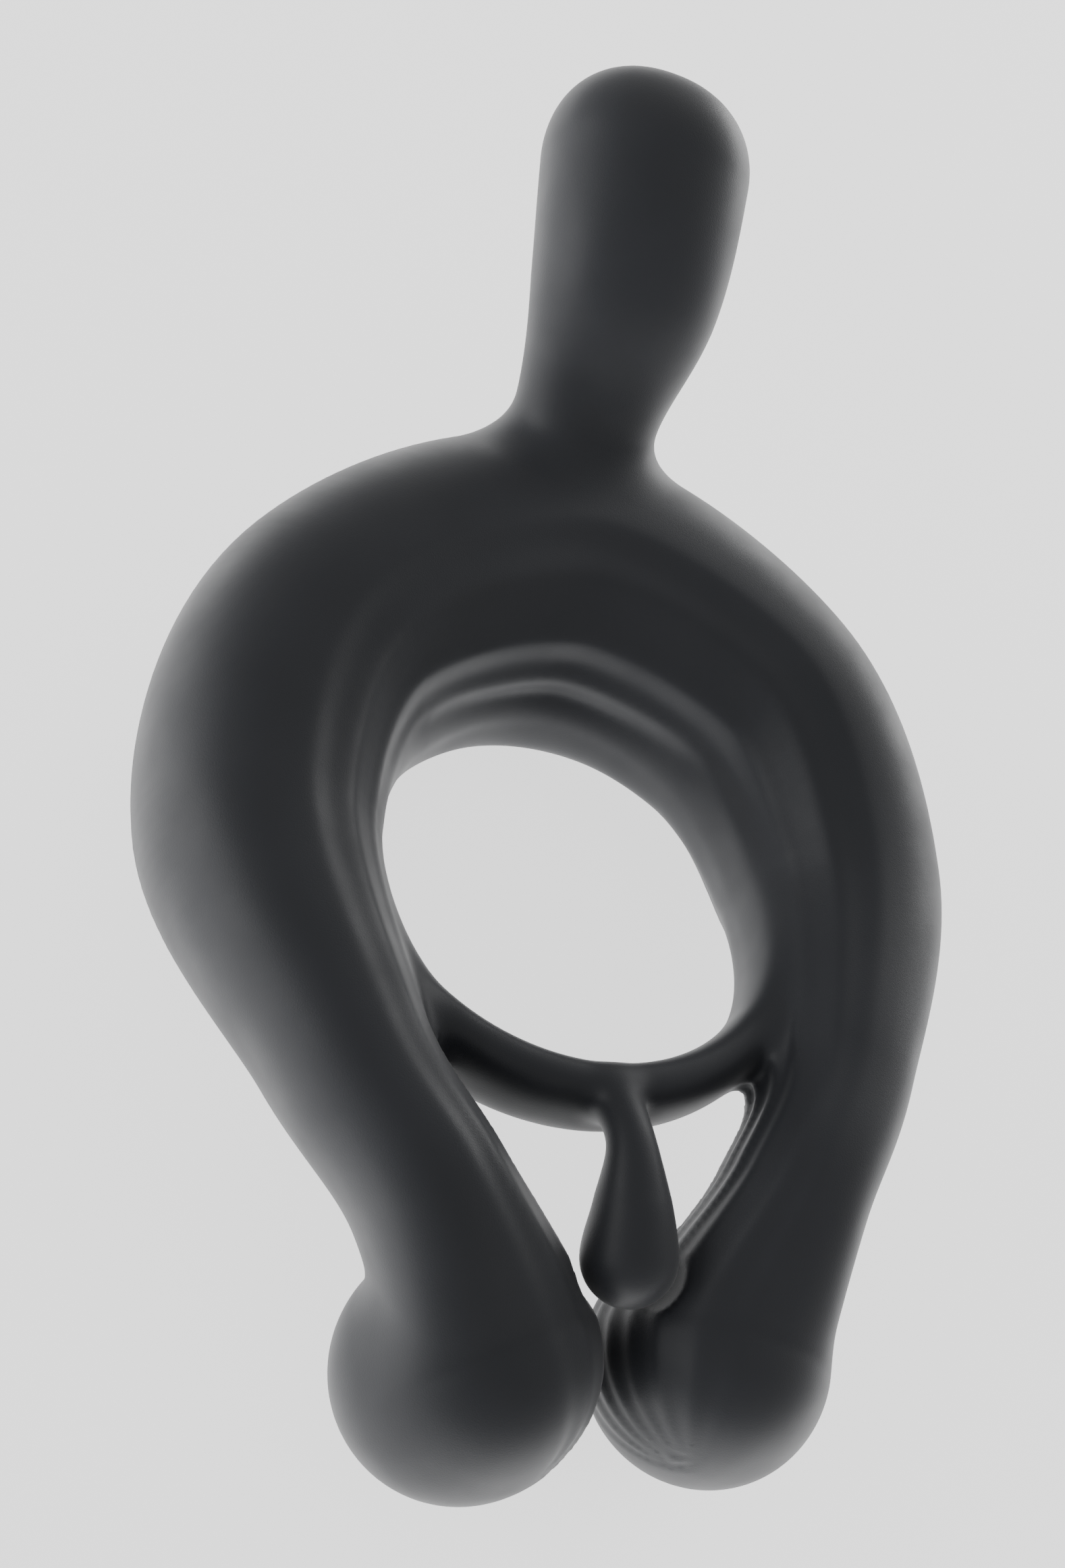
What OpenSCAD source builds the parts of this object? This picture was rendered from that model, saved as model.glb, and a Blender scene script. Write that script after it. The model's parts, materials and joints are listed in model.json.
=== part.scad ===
// Wearable ring massager: a soft horseshoe body with a ring, two sprung arms, a front tab and a nub.
// Frame: millimetres, origin on the horseshoe's mid plane at the ring's centre, +Z out of the front
// face, +Y towards the tab. The body is mirror-symmetric about X = 0.

/* [Ring] */
// Radius of the ring's bore
ring_r = 18; // [17.5:0.25:18.5]
// Wall of the ring band
ring_wall = 3.8; // [3:0.2:4]
// Height of the ring band along its axis
ring_h = 8; // [6:0.5:9]
// Lean of the ring, its lower side towards the front
ring_lean = 9; // [6:1:10]

/* [Body] */
// Half width of the horseshoe at its widest, to the centre of its section
arch_half = 26.5; // [26.5:0.25:28]
// Distance from the ring's centre to the top of the horseshoe's centreline
arch_top = 29.5; // [29:0.25:31]
// Half width of the section at the sides, in the plane of the horseshoe
arch_w = 9.5; // [9:0.25:10]
// Half width of the section at the top
arch_top_w = 12.5; // [12:0.25:13]
// Half depth of the section at the top
arch_d = 13.5; // [13:0.25:15]
// Squareness of the rounded sections
section_p = 2.5; // [2.2:0.1:3]

/* [Arms] */
// Hinge line of an arm, across from the middle
arm_x = 21; // [21:0.25:22]
// Hinge line of an arm, below the ring's centre
arm_y = -18.8; // [-20:0.2:-18]
// Half width of an arm at its hinge line
arm_w = 7; // [6.5:0.25:7.5]
// Middle of an arm's tip, across
tip_x = 10.2; // [10:0.2:12]
// Middle of an arm's tip, below the ring's centre
tip_y = -41; // [-43:0.5:-40]
// Middle of an arm's tip, towards the front
tip_z = -3.4; // [-5:0.2:-2]
// Half width of an arm's round tip
tip_w = 9.2; // [8.5:0.1:9.6]

/* [Tab] */
// Flex line of the tab, above the ring's centre
tab_y = 40; // [39.5:0.5:41]
// Flex line of the tab, towards the front
tab_z = 14; // [13.5:0.5:15]
// Middle of the tab's head, above the ring's centre
head_y = 53; // [52:0.5:55]
// Middle of the tab's head, towards the front
head_z = 27; // [26:0.5:29]
// Half width of the tab's head
head_w = 9; // [8.5:0.25:10]
// Half thickness of the tab's head
head_t = 7.6; // [7.2:0.2:8.4]

/* [Inside] */
// Radius of an arm's motor can
motor_r = 3; // [2.6:0.1:3.1]
// Length of an arm's motor can
motor_l = 9; // [8:0.5:9.5]
// Radius of the tab's flat motor
coin_r = 5; // [4:0.25:5]
// Wall of the hard capsules and of the core shell
shell_wall = 1.1; // [1:0.1:1.2]
// Gap between neighbouring bodies that move
gap = 0.3; // [0.25:0.05:0.4]

/* [Hidden] */

SILICONE = "#2b2d31";
CORE = "#d9d9d4";
LEAD = "#a03028";
STEEL = "#b9bcc0";
SIDES = 24;            // points round a section
STEPS = 4;             // rings from one station to the next
CAP = 5;               // rings that round off an end
fit = 0.15;            // clearance of a hard piece in its pocket
run = 0.05;            // running clearance of a shaft or stem in its bore
$fn = 48;

arm_hinge = [arm_x, arm_y, 2.4];
tab_hinge = [0, tab_y, tab_z];
arm_d = 8.5;                           // half depth of an arm at its hinge line
tab_w = 8;                             // half width of the tab at its flex line
tab_t = 6.4;                           // half thickness there

// Stations of a centreline: [x, y, z, half width, half depth]. The first and last only steer it.
function station(c, w, d) = [c[0], c[1], c[2], w, d];
shoulder = [20.5, 19, 0, arch_w + 1, arch_d - 0.5];
side = [arch_half, 0.5, 0, arch_w, arch_d - 2.5];
neck = [14.5, -30, 2.8, 6.5, 7.5];
arch_stations = [[-20.5, 19, 0, arch_w + 1, arch_d - 0.5], [0, arch_top, 0, arch_top_w, arch_d],
  shoulder, side, station(arm_hinge, arm_w, arm_d), neck];
arm_stations = [side, station(arm_hinge, arm_w, arm_d), neck,
  [tip_x, tip_y, tip_z, tip_w, tip_w + 0.2], [tip_x - 1, tip_y - 6, tip_z - 4, tip_w, tip_w]];
tab_stations = [[0, 34, 4, 10, 8], station(tab_hinge, tab_w, tab_t), [0, 46, 20.5, 8.2, 7],
  [0, head_y, head_z, head_w, head_t], [0, head_y + 5, head_z + 4, head_w, head_t]];

core_c = [0, 2.5, 0];                  // centre of the core's arc
core_mid = 27;                         // radius of the core's arc
core_w = 10.6;                         // width of the core shell
core_h = 16;                           // height of the core shell
core_from = 15;                        // the core's arc, in degrees from +X
core_to = 165;
core_in = core_w/2 - shell_wall;       // half width inside the shell
gasket_t = 0.6;                        // thickness of the gasket

pocket_spans = [[24, 68], [78, 102], [112, 156]];    // board, middle and battery pockets
screw_angles = [19.5, 73, 107, 160.5];
screw_r = 0.8;

board_z = -3;                          // rear face of the circuit board
board_t = 0.8;
button_at = 54;                        // angles on the core's arc
light_at = 42;
pins_at = [28, 35];
magnet_at = 31.5;
button_r = 3.6;
button_face = -13.2;                   // outer face of the button
pin_face = -12.4;                      // outer faces of the charging pins
battery_size = [17, 5.8, 12.4];
battery_at = 134;
battery_z = -0.6;                      // its middle, so that it stands on the shell's floor

capsule_r = motor_r + 0.7 + shell_wall;   // outer radius of an arm's capsule
capsule_l = motor_l + 11.6;               // its overall length
capsule_near = [16.4, -26.6, 4.2];        // the capsule's axis, from the hinge's side
capsule_mid = [12.4, -35.8, 0.1];        // and its middle
can_shift = -1.2;                         // the motor can's middle, along the capsule
shaft_r = 0.7;
lead_r = 0.8;
coin_h = 3.4;
cup_r = coin_r + 1.6;                     // outer radius of the tab's round capsule
cup_h = 7.4;
coin_mid = [0, 51, 26];

nub_pivot_r = 2.2;
nub_hinge = [0, -(ring_r + ring_wall) - 1.2, 4.2];

// ---- curves and swept solids -------------------------------------------------------------

function spline(a, b, c, d, t) =
  0.5*(2*b + (c - a)*t + (2*a - 5*b + 4*c - d)*t*t + (3*b - a - 3*c + d)*t*t*t);

// Points through all stations but the first and last, which only steer the ends
function path(st) = concat(
  [for (i = [1:len(st) - 3]) for (k = [0:STEPS - 1])
    spline(st[i - 1], st[i], st[i + 1], st[i + 2], k/STEPS)],
  [st[len(st) - 2]]);

function xyz(s) = [s[0], s[1], s[2]];
function unit(v) = v/norm(v);
function tangent(p, i) = unit(xyz(p[min(i + 1, len(p) - 1)]) - xyz(p[max(i - 1, 0)]));
function spow(v, e) = sign(v)*pow(abs(v), e);
function mirrored(p) = [for (i = [len(p) - 1:-1:1]) [-p[i][0], p[i][1], p[i][2], p[i][3], p[i][4]]];

// One rounded section about a centre, across `side` and `rise`
function section(c, side, rise, w, d) = [for (j = [0:SIDES - 1])
  let (a = 360*j/SIDES)
  c + side*w*spow(cos(a), 2/section_p) + rise*d*spow(sin(a), 2/section_p)];

// Sections that round off an end towards `out`. `turn` is the half size that the end is turned
// about: a knuckle keeps its shape when it swings about its hinge line.
function round_end(c, out, side, rise, w, d, reach, knuckle) = [for (k = [1:CAP])
  let (f = 90*k/(CAP + 0.3), q = pow(1 - pow(sin(f), section_p), 1/section_p))
  section(c + out*reach*sin(f), side, rise,
    knuckle == "rise" ? w*cos(f) : knuckle == "side" ? w*q : w*cos(f),
    knuckle == "rise" ? d*q : d*cos(f))];
function reversed(v) = [for (i = [len(v) - 1:-1:0]) v[i]];

// A closed solid swept along a path, its half depth rising towards +Z. `hinge` names the direction
// that its first end is turned about, or leaves that end flat.
module sweep(p, hinge = "flat", cap = true) {
  n = len(p);
  t = [for (i = [0:n - 1]) tangent(p, i)];
  s = [for (i = [0:n - 1]) unit(cross(t[i], [0, 0, 1]))];
  r = [for (i = [0:n - 1]) cross(s[i], t[i])];
  e = n - 1;
  first = hinge == "flat" ? [] : reversed(round_end(xyz(p[0]), -t[0], s[0], r[0], p[0][3], p[0][4],
    hinge == "rise" ? p[0][3] : p[0][4], hinge));
  last = !cap ? [] : round_end(xyz(p[e]), t[e], s[e], r[e], p[e][3], p[e][4],
    min(p[e][3], p[e][4]), "none");
  rings = concat(first, [for (i = [0:e]) section(xyz(p[i]), s[i], r[i], p[i][3], p[i][4])], last);
  m = len(rings);
  faces = [for (i = [0:m - 2]) for (j = [0:SIDES - 1])
    let (k = (j + 1) % SIDES, lo = i*SIDES, hi = (i + 1)*SIDES)
    each [[lo + j, hi + j, hi + k], [lo + j, hi + k, lo + k]]];
  polyhedron([for (q = rings) for (v = q) v], concat([[for (j = [0:SIDES - 1]) j]], faces,
    [[for (j = [SIDES - 1:-1:0]) (m - 1)*SIDES + j]]));
}

// Clear space round a knuckle of half width w and half depth d that swings about local Z
module socket(w, d) {
  rotate_extrude($fn = 64)
    polygon([for (k = [0:21]) let (a = -90 + 180*k/21)
      [max(0, (w + gap + 0.1)*pow(cos(a), 2/section_p)), (d + gap)*spow(sin(a), 2/section_p)]]);
}

module rod(a, b, r) {
  v = b - a;
  translate(a) rotate([0, 90 - atan2(v[2], norm([v[0], v[1]])), atan2(v[1], v[0])])
    cylinder(r = r, h = norm(v));
}

// Places a piece on the core's arc, its X pointing out from the arc's centre
module on_core(angle, z = 0) {
  translate(core_c) rotate([0, 0, angle]) translate([core_mid, 0, z]) children();
}

// An arc block of the core, of half width w, from z0 to z1
module arc_block(w, z0, z1, from, to) {
  translate(core_c) rotate([0, 0, from]) rotate_extrude(angle = to - from, $fn = 72)
    translate([core_mid - w, z0]) square([2*w, z1 - z0]);
}

// Local X runs along an arm's capsule towards the tip, from its middle
module right_unit() {
  v = capsule_mid - capsule_near;
  translate(capsule_mid) rotate([0, -atan2(v[2], norm([v[0], v[1]])), atan2(v[1], v[0])]) children();
}
module left_unit() { mirror([1, 0, 0]) right_unit() children(); }
// Local X runs along the tab, and local Z through its thickness
module tab_unit() { translate(coin_mid) rotate([45, 0, 0]) rotate([0, 0, 90]) children(); }
module leaning() { rotate([-ring_lean, 0, 0]) children(); }

// ---- soft skins ---------------------------------------------------------------------------

module arch_skin() {
  right = path(arch_stations);
  color(SILICONE) difference() {
    sweep(concat(mirrored(right), right), "flat", false);
    leaning() translate([0, 0, -30]) cylinder(r = ring_r + ring_wall + 0.1, h = 60, $fn = 96);
    for (s = [-1, 1]) translate([s*arm_x, arm_y, arm_hinge[2]]) socket(arm_w, arm_d);
    translate(tab_hinge) rotate([0, 90, 0]) socket(tab_t, tab_w);
    arc_block(core_w/2 + fit, -core_h/2 - fit, core_h/2 + fit, core_from - 0.5, core_to + 0.5);
    for (s = [0, 1]) mirror([s, 0, 0]) core_lead(lead_r + fit, 3);
    on_core(button_at, -16) cylinder(r = button_r + gap, h = 9);
    on_core(light_at, -16) cylinder(r = 1 + fit, h = 9);
    for (a = pins_at) on_core(a, -16) cylinder(r = 1 + fit, h = 9);
  }
}

module arm_skin() {
  difference() {
    sweep(path(arm_stations), "rise");
    right_unit() rotate([0, 90, 0]) union() {
      cylinder(r = capsule_r + fit, h = capsule_l - 2*capsule_r, center = true);
      for (s = [-1, 1]) translate([0, 0, s*(capsule_l/2 - capsule_r)]) sphere(capsule_r + fit);
    }
    rod(arm_hinge - lead_way(), lead_end() + lead_way(), lead_r + fit);
  }
}
module arm_skin_right() { color(SILICONE) arm_skin(); }
module arm_skin_left() { color(SILICONE) mirror([1, 0, 0]) arm_skin(); }

module tab_skin() {
  color(SILICONE) difference() {
    sweep(path(tab_stations), "side");
    tab_unit() cylinder(r = cup_r + fit, h = cup_h + 2*fit, center = true);
    rod(tab_hinge + [0, 1, 1], coin_mid, lead_r + fit);
  }
}

// Elastic ring: a band with rounded edges, and a shallow seat for the nub's root
module ring_band() {
  e = 1.5;
  color(SILICONE) difference() {
    leaning() rotate_extrude($fn = 96)
      polygon([for (q = [[1, 1, 0], [0, 1, 90], [0, 0, 180], [1, 0, 270]]) for (k = [0:4])
        [ring_r + (q[0] == 1 ? ring_wall - e : e) + e*cos(q[2] + 22.5*k),
         (q[1] == 1 ? ring_h/2 - e : e - ring_h/2) + e*sin(q[2] + 22.5*k)]]);
    translate(nub_hinge) rotate([0, 90, 0])
      cylinder(r = nub_pivot_r + gap, h = 8, center = true);
    for (s = [-1, 1]) translate([s*arm_x, arm_y, arm_hinge[2]])
      cylinder(r = arm_w + gap, h = 30, center = true);
  }
}

// Drop-shaped nub that hangs from the middle of the ring's lower side
module nub() {
  color(SILICONE) union() {
    translate(nub_hinge) rotate([0, 90, 0]) cylinder(r = nub_pivot_r, h = 4.4, center = true);
    translate(nub_hinge) rotate([90, 0, 0]) rotate_extrude()
      polygon([[0, 0.4], [2.1, 0.4], [2, 2], [2.1, 4], [2.6, 6.5], [3.3, 9], [3.7, 11.2],
        [3.6, 13], [2.9, 14.6], [1.6, 15.6], [0, 16]]);
  }
}

// ---- core ---------------------------------------------------------------------------------

module core_shell_front() {
  color(CORE) difference() {
    arc_block(core_w/2, gasket_t/2, core_h/2, core_from, core_to);
    for (s = pocket_spans) arc_block(core_in, 0, core_h/2 - shell_wall, s[0], s[1]);
    for (a = screw_angles) on_core(a, -1) {
      cylinder(r = screw_r + 0.1, h = 20);
      translate([0, 0, core_h/2 - 0.2]) cylinder(r = 1.8, h = 4);
    }
  }
}

module core_shell_rear() {
  color(CORE) difference() {
    arc_block(core_w/2, -core_h/2, -gasket_t/2, core_from, core_to);
    for (s = pocket_spans) arc_block(core_in, -core_h/2 + shell_wall, 0, s[0], s[1]);
    for (a = screw_angles) on_core(a, -5.5) cylinder(r = screw_r + 0.02, h = 8);
    on_core(button_at, -core_h/2 - 1) cylinder(r = 1.5 + run, h = 4);
    on_core(light_at, -core_h/2 - 1) cylinder(r = 1 + fit, h = 4);
    for (a = pins_at) on_core(a, -core_h/2 - 1) cylinder(r = 1.02, h = 4);
  }
}

// Flat seal between the two halves of the core
module core_gasket() {
  color("#3a3a3c") difference() {
    arc_block(core_w/2, -gasket_t/2, gasket_t/2, core_from, core_to);
    for (s = pocket_spans) arc_block(core_in, -1, 1, s[0], s[1]);
    for (a = screw_angles) on_core(a, -1) cylinder(r = screw_r + 0.1, h = 2);
  }
}

// Socket-head screws that clamp the core's halves together
module core_screws() {
  head = 0.8;
  color(STEEL) for (a = screw_angles) on_core(a, -5) union() {
    cylinder(r = screw_r, h = core_h/2 + 3.8);
    translate([0, 0, core_h/2 + 3.8]) difference() {
      cylinder(r = 1.6, h = head);
      translate([0, 0, 0.3]) cylinder(r = 0.6, h = head);
    }
  }
}

// Straight lead from an end of the core towards the arm's hinge line
module core_lead(r, extra) {
  a = core_c + core_mid*[cos(core_from), sin(core_from), 0];
  v = arm_hinge - a;
  rod(a + 0.3*unit(v), a + (norm(v) - arm_w - 1.5 + extra)*unit(v), r);
}
module core_leads() { color(LEAD) for (s = [0, 1]) mirror([s, 0, 0]) core_lead(lead_r, 0); }

module battery() {
  color("#5a78a8") on_core(battery_at, battery_z) rotate([0, 0, 90]) cube(battery_size, center = true);
}
module battery_foam() {
  color("#202020") on_core(battery_at, battery_z + battery_size[2]/2 + 0.6) rotate([0, 0, 90])
    cube([16, 5.6, 1.2], center = true);
}
module circuit_board() {
  color("#1d6b3c") arc_block(core_in - 0.3, board_z, board_z + board_t, 25, 67);
}
module tact_switch() {
  color("#303030") on_core(button_at, board_z - 1.8) union() {
    translate([-2.2, -2.2, 0]) cube([4.4, 4.4, 1.8]);
    translate([0, 0, -0.4]) cylinder(r = 1, h = 0.5);
  }
}
module button_stem() {
  color("#c8c8c4") on_core(button_at, -9.4) cylinder(r = 1.5, h = 9.4 + board_z - 2.9);
}
module button_cap() {
  color(SILICONE) on_core(button_at, button_face) union() {
    cylinder(r1 = button_r - 0.6, r2 = button_r, h = 0.6);
    translate([0, 0, 0.6]) cylinder(r = button_r, h = -9.4 - button_face - 0.6);
  }
}
module status_led() {
  color("#f4f4ee") on_core(light_at, board_z - 0.7) translate([-0.8, -0.8, 0]) cube([1.6, 1.6, 0.7]);
}
module light_pipe() {
  color([0.9, 0.95, 1, 0.5]) on_core(light_at, -12.6) cylinder(r = 1, h = 12.6 + board_z - 1);
}
module charge_pins() {
  color("#d4af57") for (a = pins_at) on_core(a, pin_face) union() {
    cylinder(r = 1, h = board_z - pin_face);
    translate([0, 0, board_z - pin_face - 0.8]) cylinder(r = 1.4, h = 0.8);
  }
}
module charge_magnets() {
  color(STEEL) for (s = [-1, 1]) on_core(magnet_at, -core_h/2 + shell_wall)
    translate([s*2.8, 0, 0]) cylinder(r = 1.2, h = 2);
}

// ---- motor units ----------------------------------------------------------------------------

// Cylindrical motor, local X towards its weight
module motor_can() {
  color(STEEL) translate([can_shift, 0, 0]) rotate([0, 90, 0]) difference() {
    union() {
      translate([0, 0, -motor_l/2]) cylinder(r = motor_r, h = motor_l);
      translate([0, 0, motor_l/2]) cylinder(r = 1.3, h = 0.6);
    }
    translate([0, 0, -motor_l/2 + 1.5]) cylinder(r = shaft_r + run, h = motor_l);
  }
}
module motor_endcap() {
  color("#e8e4d8") translate([can_shift, 0, 0]) rotate([0, 90, 0])
    translate([0, 0, -motor_l/2 - 1.2]) union() {
      cylinder(r = motor_r - 0.3, h = 1.2);
      for (s = [-1, 1]) translate([s*1.4, 0, -0.5]) cylinder(r = 0.4, h = 0.6);
    }
}
module motor_weight() {
  color("#8d8f94") translate([can_shift, 0, 0]) rotate([0, 90, 0]) union() {
    translate([0, 0, -motor_l/2 + 1.8]) cylinder(r = shaft_r, h = motor_l + 2);
    translate([0, 0, motor_l/2 + 0.9]) difference() {
      cylinder(r = motor_r - 0.3, h = 3);
      translate([-5, 0.85, -1]) cube([10, 5, 6]);
    }
  }
}
// Half of a hollow capsule, on the side of local +Z
module capsule_half() {
  o = capsule_r;
  i = capsule_r - shell_wall;
  l = capsule_l/2 - capsule_r;
  color(CORE) difference() {
    rotate([0, 90, 0]) rotate([0, 0, 90]) rotate_extrude(angle = 180, $fn = 48) polygon(concat(
      [for (k = [0:8]) let (a = 90 - 90*k/8) [o*cos(a), l + o*sin(a)]],
      [for (k = [0:8]) let (a = -90*k/8) [o*cos(a), -l + o*sin(a)]],
      [for (k = [0:8]) let (a = -90 + 90*k/8) [i*cos(a), -l + i*sin(a)]],
      [for (k = [0:8]) let (a = 90*k/8) [i*cos(a), l + i*sin(a)]]));
    translate([-capsule_l/2 - 1, 0, 0]) rotate([0, 90, 0]) cylinder(r = lead_r + fit, h = 3);
  }
}
// Straight lead inside an arm, from its hinge line to the end of the capsule
function lead_end() = capsule_mid - unit(capsule_mid - capsule_near)*(capsule_l/2 + 0.1);
function lead_way() = unit(lead_end() - arm_hinge);
module arm_leads() { color(LEAD) rod(arm_hinge, lead_end(), lead_r); }

// Flat motor of the tab, its shaft along local Z
module coin_case() {
  color(STEEL) difference() {
    translate([0, 0, -coin_h/2 + 0.6]) cylinder(r = coin_r, h = coin_h - 0.6);
    translate([0, 0, -coin_h/2]) cylinder(r = coin_r - 0.35, h = coin_h - 0.4);
  }
}
module coin_base() {
  color("#c9a24a") union() {
    translate([0, 0, -coin_h/2]) cylinder(r = coin_r, h = 0.6);
    translate([0, 0, -coin_h/2 + 0.5]) cylinder(r = 0.5, h = coin_h - 1.1);
  }
}
module coin_rotor() {
  color("#8d8f94") difference() {
    union() {
      cylinder(r = 1.3, h = 1.2, center = true);
      intersection() {
        cylinder(r = coin_r - 0.7, h = 1.2, center = true);
        translate([-10, 0, -2]) cube([20, 10, 4]);
      }
    }
    cylinder(r = 0.5 + run, h = 4, center = true);
  }
}
module cup(side) {
  color(CORE) mirror([0, 0, side]) difference() {
    cylinder(r = cup_r, h = cup_h/2);
    translate([0, 0, -1]) cylinder(r = cup_r - shell_wall, h = cup_h/2 - shell_wall + 1);
    translate([-cup_r - 1, 0, 0]) rotate([0, 90, 0]) cylinder(r = lead_r + fit, h = 4);
  }
}
module tab_lead() {
  v = unit(coin_mid - tab_hinge);
  color(LEAD) rod(tab_hinge + 2*v, coin_mid - (cup_r + 0.1)*v, lead_r);
}

module left_motor_can() { left_unit() motor_can(); }
module left_motor_endcap() { left_unit() motor_endcap(); }
module left_motor_weight() { left_unit() motor_weight(); }
module left_capsule_outer() { left_unit() capsule_half(); }
module left_capsule_inner() { left_unit() mirror([0, 0, 1]) capsule_half(); }
module left_motor_leads() { mirror([1, 0, 0]) arm_leads(); }
module right_motor_can() { right_unit() motor_can(); }
module right_motor_endcap() { right_unit() motor_endcap(); }
module right_motor_weight() { right_unit() motor_weight(); }
module right_capsule_outer() { right_unit() capsule_half(); }
module right_capsule_inner() { right_unit() mirror([0, 0, 1]) capsule_half(); }
module right_motor_leads() { arm_leads(); }
module tab_motor_case() { tab_unit() coin_case(); }
module tab_motor_base() { tab_unit() coin_base(); }
module tab_motor_rotor() { tab_unit() coin_rotor(); }
module tab_capsule_front() { tab_unit() cup(0); }
module tab_capsule_rear() { tab_unit() cup(1); }
module tab_motor_leads() { tab_lead(); }

arch_skin();
ring_band();
arm_skin_left();
arm_skin_right();
tab_skin();
nub();
core_shell_front();
core_shell_rear();
core_gasket();
core_screws();
core_leads();
battery();
battery_foam();
circuit_board();
tact_switch();
button_cap();
button_stem();
status_led();
light_pipe();
charge_pins();
charge_magnets();
left_motor_can();
left_motor_endcap();
left_motor_weight();
left_capsule_outer();
left_capsule_inner();
left_motor_leads();
right_motor_can();
right_motor_endcap();
right_motor_weight();
right_capsule_outer();
right_capsule_inner();
right_motor_leads();
tab_motor_case();
tab_motor_base();
tab_motor_rotor();
tab_capsule_front();
tab_capsule_rear();
tab_motor_leads();
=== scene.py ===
import json
import math

import bpy
import numpy as np
from mathutils import Matrix, Vector


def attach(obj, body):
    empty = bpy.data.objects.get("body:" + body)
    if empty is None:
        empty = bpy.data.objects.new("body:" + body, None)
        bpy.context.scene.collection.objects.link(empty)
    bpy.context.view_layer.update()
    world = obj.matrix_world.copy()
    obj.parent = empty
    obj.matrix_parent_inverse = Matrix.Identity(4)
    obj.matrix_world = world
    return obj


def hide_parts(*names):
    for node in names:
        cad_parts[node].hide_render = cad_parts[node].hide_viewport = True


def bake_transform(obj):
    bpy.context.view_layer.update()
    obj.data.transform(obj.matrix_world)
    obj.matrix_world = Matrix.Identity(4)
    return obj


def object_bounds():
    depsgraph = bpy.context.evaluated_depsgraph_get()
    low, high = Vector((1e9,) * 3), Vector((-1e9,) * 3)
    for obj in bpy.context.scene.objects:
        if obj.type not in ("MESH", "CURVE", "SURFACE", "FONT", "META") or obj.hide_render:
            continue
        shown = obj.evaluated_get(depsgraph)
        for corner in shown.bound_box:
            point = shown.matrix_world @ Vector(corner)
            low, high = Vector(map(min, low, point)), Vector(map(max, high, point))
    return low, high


# A wearable ring massager. The hard parts inside come from the CAD frame. The soft silicone skin is
# one smooth surface, worked out as a distance field in millimetres and cut into pieces.

MM = 0.001

# ---- camera ------------------------------------------------------------------------------

# Angles are in degrees, places and distances in mm
VIEW_AZIMUTH = -42.5
VIEW_ELEVATION = 55.8
VIEW_ROLL = 43.0          # turns the picture clockwise
VIEW_DISTANCE = 123.2     # from the aim
VIEW_AIM = (0.1, -3.9, -2.8)
VIEW_LENS = 32.6
VIEW_SHIFT = (-0.017, 0.087)


def add_camera():
    az, el, roll = (math.radians(a) for a in (VIEW_AZIMUTH, VIEW_ELEVATION, VIEW_ROLL))
    back = Vector((math.sin(az)*math.cos(el), -math.cos(az)*math.cos(el), math.sin(el)))
    level = Vector((math.cos(az), math.sin(az), 0))
    rise = back.cross(level)
    right = level*math.cos(roll) + rise*math.sin(roll)
    up = rise*math.cos(roll) - level*math.sin(roll)
    camera = bpy.data.objects.new("camera", bpy.data.cameras.new("camera"))
    place = Matrix((right, up, back)).transposed().to_4x4()
    place.translation = (Vector(VIEW_AIM) + back*VIEW_DISTANCE)*MM
    camera.matrix_world = place
    camera.data.lens = VIEW_LENS
    camera.data.shift_x, camera.data.shift_y = VIEW_SHIFT
    camera.data.clip_start = 0.005
    bpy.context.collection.objects.link(camera)
    bpy.context.scene.camera = camera


# ---- shape of the skin, in mm -----------------------------------------------------------------

GRID = 0.42
STEPS = 24                # points of a centreline from one row to the next
FIELD_RANGE = (-6, 12)    # distances beyond these are cut off
FIELD_LOW = (0.0, -53.5, -16.5)      # corners of the box the right half is worked out in
FIELD_HIGH = (39.0, 66.0, 40.0)

# How square the sections are: 2 is an ellipse, more is squarer
ARCH_SQUARE, TAB_SQUARE, RING_SQUARE = 2.3, 2.2, 2.4

# Centreline of the right half of the horseshoe: x, y, z, half width, half depth.
# The first and last rows only steer the curve.
ARCH = (
    (-20.8, 19.1, -0.6, 10.9, 13.2),
    (0.0, 29.7, -0.5, 12.9, 13.6),
    (20.8, 19.1, -0.6, 10.9, 13.2),
    (26.7, 0.4, -0.5, 9.4, 10.8),
    (21.1, -19.0, 3.2, 6.2, 7.6),
    (14.8, -30.0, 3.7, 5.8, 6.9),
    (9.4, -40.6, -0.8, 8.2, 7.6),
    (8.8, -47.0, -3.4, 8.2, 7.6),
)
HEEL = ((10.2, -40.8, -4.4), (9.9, 9.6, 9.4))     # centre and half sizes of an arm's round heel
HEEL_MEAN = 9.3           # its mean radius
HEEL_BLEND = 2.0

# Centreline of the tab in the plane X = 0: y, z, half width, half thickness
TAB = (
    (26.0, -4.0, 9.0, 7.0),
    (33.0, 4.0, 7.4, 6.6),
    (39.5, 12.8, 6.6, 5.6),
    (44.3, 22.0, 8.3, 7.0),
    (52.4, 28.0, 9.0, 7.6),
    (59.4, 31.4, 9.0, 7.6),
)

# Openings of the rear face: angle on the core's arc in degrees, and radius
CORE_R, CORE_Y = 27.0, 2.5
REAR_OPENINGS = ((54, 4.0), (42, 1.35), (35, 1.35), (28, 1.35))
REAR_FLOOR = -8.2         # height that the openings reach up to
REAR_BLEND = 0.5

RING_CENTRE = (0.0, -2.0, -0.6)
RING_LEAN = math.radians(9)
RING_MID = 19.9           # radius of the band's middle
RING_SECTION = (2.1, 3.8)            # half thickness and half height of the band

# Centreline of the nub in the plane X = 0: y, z, radius
NUB = (
    (-19.0, 1.5, 2.3),
    (-22.5, 4.8, 2.0),
    (-26.5, 6.8, 1.9),
    (-31.0, 6.0, 3.0),
    (-34.6, 4.6, 3.7),
    (-38.0, 3.6, 3.2),
)

NUB_FREE_Y = -27.0        # below this the nub hangs free between the arms
NUB_GAP = 1.0             # clear space round it there

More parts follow.
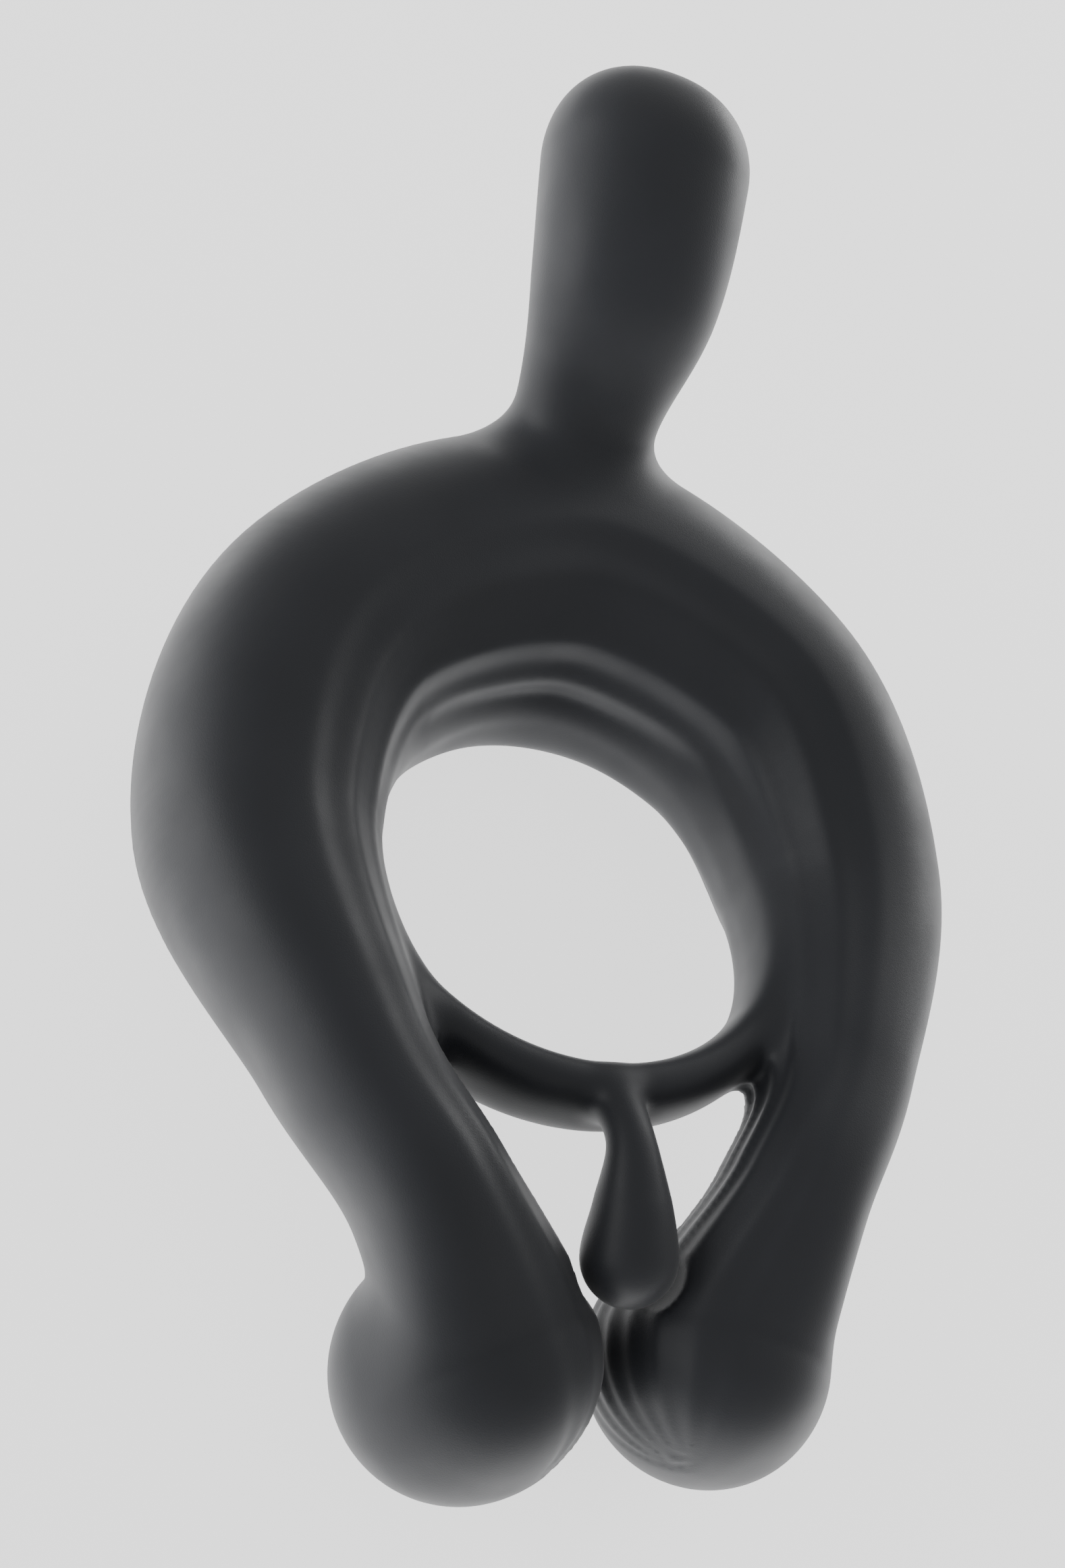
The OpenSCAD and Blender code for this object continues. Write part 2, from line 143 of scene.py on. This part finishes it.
# How softly the parts run into each other. The horseshoe's blend with the tab changes with z. Its
# blend with the ring changes with the distance x from the middle, and fades out along y towards the
# free part of the nub.
TAB_BLEND = ((4, 16), (6.0, 2.5))
RING_BLEND = ((6, 15), (1.5, 3.2))
RING_BLEND_SHARE = ((NUB_FREE_Y, -23), (0.01, 1))
NUB_BLEND = 1.6

# Lengthwise ribs of the inner and front faces: the angle of each crest round the
# section, from straight inwards (0) to straight forwards (90), and the depth of the valley after it
RIB_CRESTS = (-62, -48, -35, -21, -5, 14, 33, 56, 80)
RIB_DEPTHS = (0.0, 0.5, 0.6, 0.6, 0.55, 0.5, 0.3, 0.4)
# Share of that depth along the centreline, counted in rows of ARCH from the top
RIB_ROWS = (0.0, 0.7, 1.4, 2.1, 2.7, 3.3, 4.6, 5.6)
INNER_SHARE = (1.0, 0.8, 0.3, 0.1, 0.1, 0.6, 0.45, 0.1)
FRONT_SHARE = (1.0, 1.0, 0.8, 0.7, 0.5, 0.4, 0.5, 0.1)
FRONT_FROM, FRONT_FULL = 25, 41      # angles over which the front's share takes over
RIB_POWER = 0.8           # below 1 the valleys are wide and the crests narrow
RIB_RUN_ON = 15           # the centreline runs on straight by this, past its last row


def spline(rows, steps):
    """A Catmull-Rom curve through all rows but the first and last."""
    rows = np.array(rows, float)
    t = (np.arange(steps)/steps)[:, None]
    spans = []
    for a, b, c, d in zip(rows, rows[1:], rows[2:], rows[3:]):
        spans.append(0.5*(2*b + (c - a)*t + (2*a - 5*b + 4*c - d)*t*t + (3*b - a - 3*c + d)*t**3))
    return np.vstack(spans + [rows[-2:-1]])


def nearest(curve, p, q):
    """For points (p, q) of a plane: signed offset from the curve, row number along it, its values."""
    best = np.full(p.shape, np.inf)
    offset = np.zeros(p.shape)
    values = np.zeros(p.shape + (curve.shape[1] - 2,))
    row = np.zeros(p.shape)
    for i, (a, b) in enumerate(zip(curve, curve[1:])):
        step = b[:2] - a[:2]
        t = np.clip(((p - a[0])*step[0] + (q - a[1])*step[1])/(step @ step), 0, 1)
        dp, dq = p - a[0] - t*step[0], q - a[1] - t*step[1]
        far = np.hypot(dp, dq)
        near = far < best
        best[near] = far[near]
        side = np.sign(step[0]*dq - step[1]*dp)
        offset[near] = (far*np.where(side == 0, 1, side))[near]
        row[near] = (i + t)[near]
        values[near] = (a[2:] + t[..., None]*(b[2:] - a[2:]))[near]
    return offset, row, values


def rounded(u, v, w, d, p):
    """Distance from a rounded section of half sizes w and d, good near its surface."""
    a, b = np.abs(u)/w, np.abs(v)/d
    g = np.maximum((a**p + b**p)**(1/p), 0.2)
    slope = g**(1 - p)*np.hypot(a**(p - 1)/w, b**(p - 1)/d)
    return np.clip((g - 1)/np.maximum(slope, 1e-3), *FIELD_RANGE)


def soft_union(a, b, k):
    h = np.clip(0.5 + 0.5*(b - a)/k, 0, 1)
    return b + (a - b)*h - k*h*(1 - h)


def smoothstep(lo, hi, v):
    t = np.clip((v - lo)/(hi - lo), 0, 1)
    return t*t*(3 - 2*t)


def rib_depth(x, y, z):
    """Depth of the scallops between the ribs, by angle round the section."""
    curve = spline(ARCH, STEPS)
    onward = curve[-1:].copy()
    last = curve[-1, :2] - curve[-2, :2]
    onward[0, :2] += RIB_RUN_ON*last/np.linalg.norm(last)
    u, row, values = nearest(np.vstack((curve, onward)), x[:, :, 0], y[:, :, 0])
    mid, w, d = (values[..., i][:, :, None] for i in range(3))
    angle = np.degrees(np.arctan2((z - mid)/d, -u[:, :, None]/w))
    inner = np.interp(row/STEPS, RIB_ROWS, INNER_SHARE)[:, :, None]
    front = np.interp(row/STEPS, RIB_ROWS, FRONT_SHARE)[:, :, None]
    turn = np.interp(angle, RIB_CRESTS, np.arange(len(RIB_CRESTS)))
    valley = (0.5 - 0.5*np.cos(2*math.pi*turn))**RIB_POWER
    middles = [(a + b)/2 for a, b in zip(RIB_CRESTS, RIB_CRESTS[1:])]
    share = inner + (front - inner)*smoothstep(FRONT_FROM, FRONT_FULL, angle)
    return valley*np.interp(angle, middles, RIB_DEPTHS)*share


def horseshoe(x, y, z):
    plane_x, plane_y = np.broadcast_arrays(x[:, :, 0], y[:, :, 0])
    u, _, values = nearest(spline(ARCH, STEPS), plane_x, plane_y)
    mid, w, d = (values[..., i][:, :, None] for i in range(3))
    arch = rounded(u[:, :, None], z - mid, w, d, ARCH_SQUARE)
    (cx, cy, cz), (rx, ry, rz) = HEEL
    heel = (np.sqrt(((x - cx)/rx)**2 + ((y - cy)/ry)**2 + ((z - cz)/rz)**2) - 1)*HEEL_MEAN
    return soft_union(arch, heel, HEEL_BLEND) + rib_depth(plane_x[:, :, None], plane_y[:, :, None], z)


def tab(x, y, z):
    curve = spline(TAB, STEPS)
    plane_y, plane_z = np.broadcast_arrays(y[0], z[0])
    n, _, values = nearest(curve, plane_y, plane_z)
    return rounded(x, n[None], values[None, ..., 0], values[None, ..., 1], TAB_SQUARE)


def nub(x, y, z):
    curve = spline(NUB, STEPS)
    plane_y, plane_z = np.broadcast_arrays(y[0], z[0])
    n, _, values = nearest(curve, plane_y, plane_z)
    return np.hypot(x, n[None]) - values[None, ..., 0]


def ring(x, y, z):
    c, s = math.cos(RING_LEAN), math.sin(RING_LEAN)
    dy, dz = y - RING_CENTRE[1], z - RING_CENTRE[2]
    flat_y, rise = dy*c - dz*s, dy*s + dz*c
    return rounded(np.hypot(x, flat_y) - RING_MID, rise, *RING_SECTION, RING_SQUARE)


def skin_field():
    """The field of the whole soft body, its grid's corner, and the horseshoe's and nub's own fields."""
    low = np.array(FIELD_LOW)
    x, y, z = (np.arange(a, b, GRID) for a, b in zip(low, FIELD_HIGH))
    x, y, z = x[:, None, None], y[None, :, None], z[None, None, :]
    arch = horseshoe(x, y, z)
    body = soft_union(arch, tab(x, y, z), np.interp(z, *TAB_BLEND))
    drop = nub(x, y, z)
    free = y < NUB_FREE_Y
    body = np.where(free, np.maximum(body, NUB_GAP - drop), body)
    hanging = soft_union(ring(x, y, z), drop, NUB_BLEND)
    blend = np.interp(x, *RING_BLEND)*np.interp(y, *RING_BLEND_SHARE)
    body = soft_union(body, hanging, blend)
    body, arch, drop = (np.concatenate((f[:0:-1], f)) for f in (body, arch, drop))
    low[0] = -GRID*(len(body)//2)
    return open_rear(body, low), low, arch, drop


def open_rear(body, low):
    """Opens the rear face over the button, the light and the charging pins."""
    x, y, z = (low[i] + GRID*np.arange(body.shape[i]) for i in range(3))
    x, y, z = x[:, None, None], y[None, :, None], z[None, None, :]
    for angle, radius in REAR_OPENINGS:
        angle = math.radians(angle)
        across = np.hypot(x - CORE_R*math.cos(angle), y - CORE_Y - CORE_R*math.sin(angle)) - radius
        body = -soft_union(-body, np.maximum(across, z - REAR_FLOOR), REAR_BLEND)
    return body


# ---- from field to mesh ---------------------------------------------------------------------

CORNERS = [(i, j, k) for i in (0, 1) for j in (0, 1) for k in (0, 1)]
SETTLE_ROUNDS = 3
SETTLE_SHARE = 0.5        # how much of the way to its neighbours' middle a point moves each time


def sample(field, places):
    """Trilinear value of the field at places given in cells."""
    base = np.clip(np.floor(places).astype(int), 0, np.array(field.shape) - 2)
    t = places - base
    total = 0.0
    for i, j, k in CORNERS:
        share = ((t[:, 0] if i else 1 - t[:, 0])*(t[:, 1] if j else 1 - t[:, 1])
                 * (t[:, 2] if k else 1 - t[:, 2]))
        total = total + share*field[base[:, 0] + i, base[:, 1] + j, base[:, 2] + k]
    return total


def surface(field):
    """Surface nets: one point in each cell that the surface crosses, and quads between them."""
    inside = field < 0
    count = sum(inside[i:field.shape[0] - 1 + i, j:field.shape[1] - 1 + j, k:field.shape[2] - 1 + k]
                .astype(np.int8) for i, j, k in CORNERS)
    cells = np.argwhere((count > 0) & (count < 8))
    index = np.full(count.shape, -1)
    index[tuple(cells.T)] = np.arange(len(cells))
    total, hits = np.zeros((len(cells), 3)), np.zeros(len(cells))
    for a in CORNERS:
        for axis in range(3):
            if a[axis]:
                continue
            b = list(a)
            b[axis] = 1
            fa, fb = field[tuple((cells + a).T)], field[tuple((cells + b).T)]
            cross = (fa < 0) != (fb < 0)
            t = np.where(cross, fa/np.where(cross, fa - fb, 1), 0)
            place = cells + np.array(a, float)
            place[:, axis] += t
            total[cross] += place[cross]
            hits += cross
    points = total/hits[:, None]
    quads = []
    for axis in range(3):
        b, c = [q for q in range(3) if q != axis]
        head = [slice(1, -1)]*3
        tail = [slice(1, -1)]*3
        head[axis], tail[axis] = slice(0, -1), slice(1, None)
        first, second = inside[tuple(head)], inside[tuple(tail)]
        edge = np.argwhere(first != second)
        leaving = first[tuple(edge.T)]
        start = edge + 1
        start[:, axis] = edge[:, axis]
        ring_cells = []
        for db, dc in ((0, 0), (-1, 0), (-1, -1), (0, -1)):
            cell = start.copy()
            cell[:, b] += db
            cell[:, c] += dc
            ring_cells.append(index[tuple(cell.T)])
        quad = np.stack(ring_cells, 1)
        flip = leaving if axis != 1 else ~leaving
        quad[~flip] = quad[~flip][:, ::-1]
        quads.append(quad)
    return points, np.vstack(quads)


def settle(field, points, quads):
    """Evens out the points along the surface and brings them back onto it. Adds their normals."""
    gradient = np.gradient(field)
    edges = np.vstack([quads[:, [i, (i + 1) % 4]] for i in range(4)])
    degree = np.bincount(edges.ravel(), minlength=len(points))[:, None]

    def slope():
        g = np.stack([sample(f, points) for f in gradient], 1)
        return g, np.linalg.norm(g, axis=1)[:, None]

    for _ in range(SETTLE_ROUNDS):
        around = np.stack([np.bincount(edges.ravel(), points[edges[:, ::-1].ravel(), i], len(points))
                           for i in range(3)], 1)/degree
        g, size = slope()
        move = around - points
        move -= g*(move*g).sum(1)[:, None]/size**2
        points = points + SETTLE_SHARE*move
        g, size = slope()
        points = points - g*(sample(field, points)[:, None]/size**2)
    g, size = slope()
    return points, g/size


# ---- pieces -------------------------------------------------------------------------------------

# Where each soft part begins to bend, and where it has turned as far as its joint
ARM_START, ARM_END = (20.5, -19.5, 2.5), (16.4, -28.9, 3.0)
TAB_START, TAB_END = (0.0, 39.0, 13.0), (0.0, 44.0, 18.0)
NUB_START, NUB_END = (0.0, -24.2, 4.0), (0.0, -28.0, 4.5)

# How near a face lies to a part's own surface to belong to it, and where each part can be at all
ARCH_NEAR, NUB_NEAR = 1.5, 0.45
ARM_BELOW_Y, NUB_BELOW_Y, TAB_ABOVE_Y = -10, -20, 20


def after(points, start, end):
    """How far each point lies past the start, towards the end, in mm."""
    along = np.array(end) - np.array(start)
    return (points - np.array(start)) @ (along/np.linalg.norm(along))


def make_piece(name, points, normals, quads, material):
    used = np.unique(quads)
    renumber = np.full(len(points), -1)
    renumber[used] = np.arange(len(used))
    mesh = bpy.data.meshes.new(name)
    mesh.from_pydata((points[used]*MM).tolist(), [], renumber[quads].tolist())
    mesh.validate()
    mesh.shade_smooth()
    mesh.normals_split_custom_set_from_vertices(normals[used].tolist())
    mesh.materials.append(material)
    piece = bpy.data.objects.new(name, mesh)
    bpy.context.collection.objects.link(piece)
    return piece


def add_skin(material):
    field, low, arch, drop = skin_field()
    points, quads = surface(field)
    points, normals = settle(field, points, quads)
    on_arch, on_nub = sample(arch, points), sample(drop, points)
    points = points*GRID + low
    middles = points[quads].mean(1)
    arch_near = on_arch[quads].mean(1) < ARCH_NEAR
    nub_near = on_nub[quads].mean(1) < NUB_NEAR
    folded = np.hstack((np.abs(middles[:, :1]), middles[:, 1:]))     # both arms on the right side
    past_arm = after(folded, ARM_START, ARM_END) > 0
    is_nub = (after(middles, NUB_START, NUB_END) > 0) & nub_near & (middles[:, 1] < NUB_BELOW_Y)
    is_arm = past_arm & arch_near & (middles[:, 1] < ARM_BELOW_Y) & ~is_nub
    is_tab = (after(middles, TAB_START, TAB_END) > 0) & (middles[:, 1] > TAB_ABOVE_Y)
    right = middles[:, 0] > 0
    groups = {
        "skin_body": ~(is_arm | is_tab | is_nub),
        "skin_right_arm": is_arm & right,
        "skin_left_arm": is_arm & ~right,
        "skin_tab": is_tab,
        "skin_nub": is_nub,
    }
    made = {name: make_piece(name, points, normals, quads[mask], material)
            for name, mask in groups.items()}

    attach(made["skin_body"], "main_body")
    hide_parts("arch_skin", "ring_band")
    for side, flip in (("right", 1), ("left", -1)):
        arm = made[f"skin_{side}_arm"]
        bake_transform(arm)
        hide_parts(f"arm_skin_{side}")
    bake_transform(made["skin_tab"])
    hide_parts("tab_skin")
    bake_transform(made["skin_nub"])
    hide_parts("nub")


# ---- materials ------------------------------------------------------------------------------------

SILICONE_DARK, SILICONE_MEAN, SILICONE_LIGHT = (
    (0.015, 0.017, 0.022), (0.018, 0.02, 0.025), (0.021, 0.023, 0.029))
METALS = ("brass", "brushed_steel", "cast_iron")

# Looks of the hard parts: roughness, metallic, lowest and highest roughness
METAL_LOOK = (0.35, 1.0, 0.3, 0.42)
PLASTIC_LOOK = (0.5, 0.0, 0.4, 0.58)
DARKER = 0.8              # a hard part's colour varies between this share of it and all of it

def node_material(name, colour, roughness, metallic=0.0, **sockets):
    material = bpy.data.materials.new(name)
    material.use_nodes = True
    shader = material.node_tree.nodes["Principled BSDF"]
    shader.inputs["Base Color"].default_value = (*colour, 1)
    shader.inputs["Roughness"].default_value = roughness
    shader.inputs["Metallic"].default_value = metallic
    for socket, value in sockets.items():
        shader.inputs[socket.replace("_", " ")].default_value = value
    return material


def add_noise(material, scale, detail=3.0):
    nodes, links = material.node_tree.nodes, material.node_tree.links
    where = nodes.new("ShaderNodeTexCoord")
    noise = nodes.new("ShaderNodeTexNoise")
    noise.inputs["Scale"].default_value = scale
    noise.inputs["Detail"].default_value = detail
    links.new(where.outputs["Object"], noise.inputs["Vector"])
    return noise


def vary_colour(material, scale, dark, light):
    nodes, links = material.node_tree.nodes, material.node_tree.links
    ramp = nodes.new("ShaderNodeValToRGB")
    ramp.color_ramp.elements[0].position = 0.35
    ramp.color_ramp.elements[1].position = 0.65
    ramp.color_ramp.elements[0].color = (*dark, 1)
    ramp.color_ramp.elements[1].color = (*light, 1)
    links.new(add_noise(material, scale).outputs["Fac"], ramp.inputs["Fac"])
    links.new(ramp.outputs["Color"], nodes["Principled BSDF"].inputs["Base Color"])


def vary_roughness(material, scale, low, high):
    nodes, links = material.node_tree.nodes, material.node_tree.links
    spread = nodes.new("ShaderNodeMapRange")
    spread.inputs["From Min"].default_value = 0.3
    spread.inputs["From Max"].default_value = 0.7
    spread.inputs["To Min"].default_value = low
    spread.inputs["To Max"].default_value = high
    links.new(add_noise(material, scale).outputs["Fac"], spread.inputs["Value"])
    links.new(spread.outputs["Result"], nodes["Principled BSDF"].inputs["Roughness"])


def add_grain(material, scale, height):
    """A fine bump; its height is in mm."""
    nodes, links = material.node_tree.nodes, material.node_tree.links
    bump = nodes.new("ShaderNodeBump")
    bump.inputs["Strength"].default_value = 1.0
    bump.inputs["Distance"].default_value = height*MM
    links.new(add_noise(material, scale, 2.0).outputs["Fac"], bump.inputs["Height"])
    links.new(bump.outputs["Normal"], nodes["Principled BSDF"].inputs["Normal"])


def silicone():
    """Matte soft-touch silicone: near black and slightly blue, with a fine moulded grain."""
    m = node_material("silicone", SILICONE_MEAN, 0.5, Specular_IOR_Level=0.5,
                      Sheen_Weight=0.2, Sheen_Roughness=0.5)
    vary_colour(m, scale=60, dark=SILICONE_DARK, light=SILICONE_LIGHT)
    vary_roughness(m, scale=140, low=0.44, high=0.56)
    add_grain(m, scale=9000, height=0.012)
    return m


def paint_inside(record, soft):
    """Every CAD part keeps its shape and gets the material of its slot."""
    looks = {"silicone_skin": soft, "silicone_ring": soft}
    for entry in record["materials"]:
        if entry["slot"] in looks:
            continue
        colour, slot = entry["base_color"][:3], entry["slot"]
        look = METAL_LOOK if entry["class"] in METALS else PLASTIC_LOOK
        roughness, metallic, smoothest, roughest = look
        m = node_material(slot, colour, roughness, metallic)
        vary_colour(m, scale=300, dark=[DARKER*c for c in colour], light=colour)
        vary_roughness(m, scale=500, low=smoothest, high=roughest)
        add_grain(m, scale=6000, height=0.006)
        looks[slot] = m
    for sub in record["subparts"]:
        obj = frame["nodes"].get(sub["node"])
        if obj is not None:
            obj.data.materials.clear()
            obj.data.materials.append(looks[sub["material_slot"]])


# ---- light and floor ----------------------------------------------------------------------------

SKY = 0.42
FLOOR_GLOW = 1.5
FLOOR_HALF = 3.0          # half the floor's width, in metres
FLOOR_GAP = 0.0002        # from the floor to the lowest point of the object, in metres

# Soft boxes, turned to LIGHT_TARGET: name, place and size in metres, power in watts
LIGHT_TARGET = (0, 0, 0)
LIGHTS = (
    ("left_box", (-0.6, 0.05, 0.12), (0.5, 0.5), 1.6),
    ("right_box", (0.5, 0.4, 0.1), (0.5, 0.3), 1.8),
)


def add_area(name, place, size, power):
    light = bpy.data.lights.new(name, "AREA")
    light.shape = "RECTANGLE"
    light.size, light.size_y = size
    light.energy = power
    lamp = bpy.data.objects.new(name, light)
    lamp.location = place
    lamp.rotation_euler = (Vector(LIGHT_TARGET) - Vector(place)).to_track_quat("-Z", "Y").to_euler()
    bpy.context.collection.objects.link(lamp)


def add_studio():
    low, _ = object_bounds()
    z = low[2] - FLOOR_GAP
    corners = [(x*FLOOR_HALF, y*FLOOR_HALF, z) for x, y in ((-1, -1), (1, -1), (1, 1), (-1, 1))]
    mesh = bpy.data.meshes.new("floor")
    mesh.from_pydata(corners, [], [(0, 1, 2, 3)])
    floor = bpy.data.objects.new("floor", mesh)
    bpy.context.collection.objects.link(floor)
    paper = node_material("paper", (0.9, 0.9, 0.9), 0.8, Emission_Color=(1, 1, 1, 1),
                          Emission_Strength=FLOOR_GLOW)
    mesh.materials.append(paper)
    world = bpy.data.worlds.new("studio")
    world.use_nodes = True
    world.node_tree.nodes["Background"].inputs["Color"].default_value = (1, 1, 1, 1)
    world.node_tree.nodes["Background"].inputs["Strength"].default_value = SKY
    bpy.context.scene.world = world
    for light in LIGHTS:
        add_area(*light)


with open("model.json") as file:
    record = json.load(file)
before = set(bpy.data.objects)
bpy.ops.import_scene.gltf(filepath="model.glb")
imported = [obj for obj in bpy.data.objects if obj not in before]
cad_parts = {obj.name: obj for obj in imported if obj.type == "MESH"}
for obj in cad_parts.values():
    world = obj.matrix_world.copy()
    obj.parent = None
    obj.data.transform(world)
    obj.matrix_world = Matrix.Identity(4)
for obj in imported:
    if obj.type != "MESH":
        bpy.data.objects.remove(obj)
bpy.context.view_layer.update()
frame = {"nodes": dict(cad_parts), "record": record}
add_camera()
soft_look = silicone()
paint_inside(frame["record"], soft_look)
add_skin(soft_look)
add_studio()
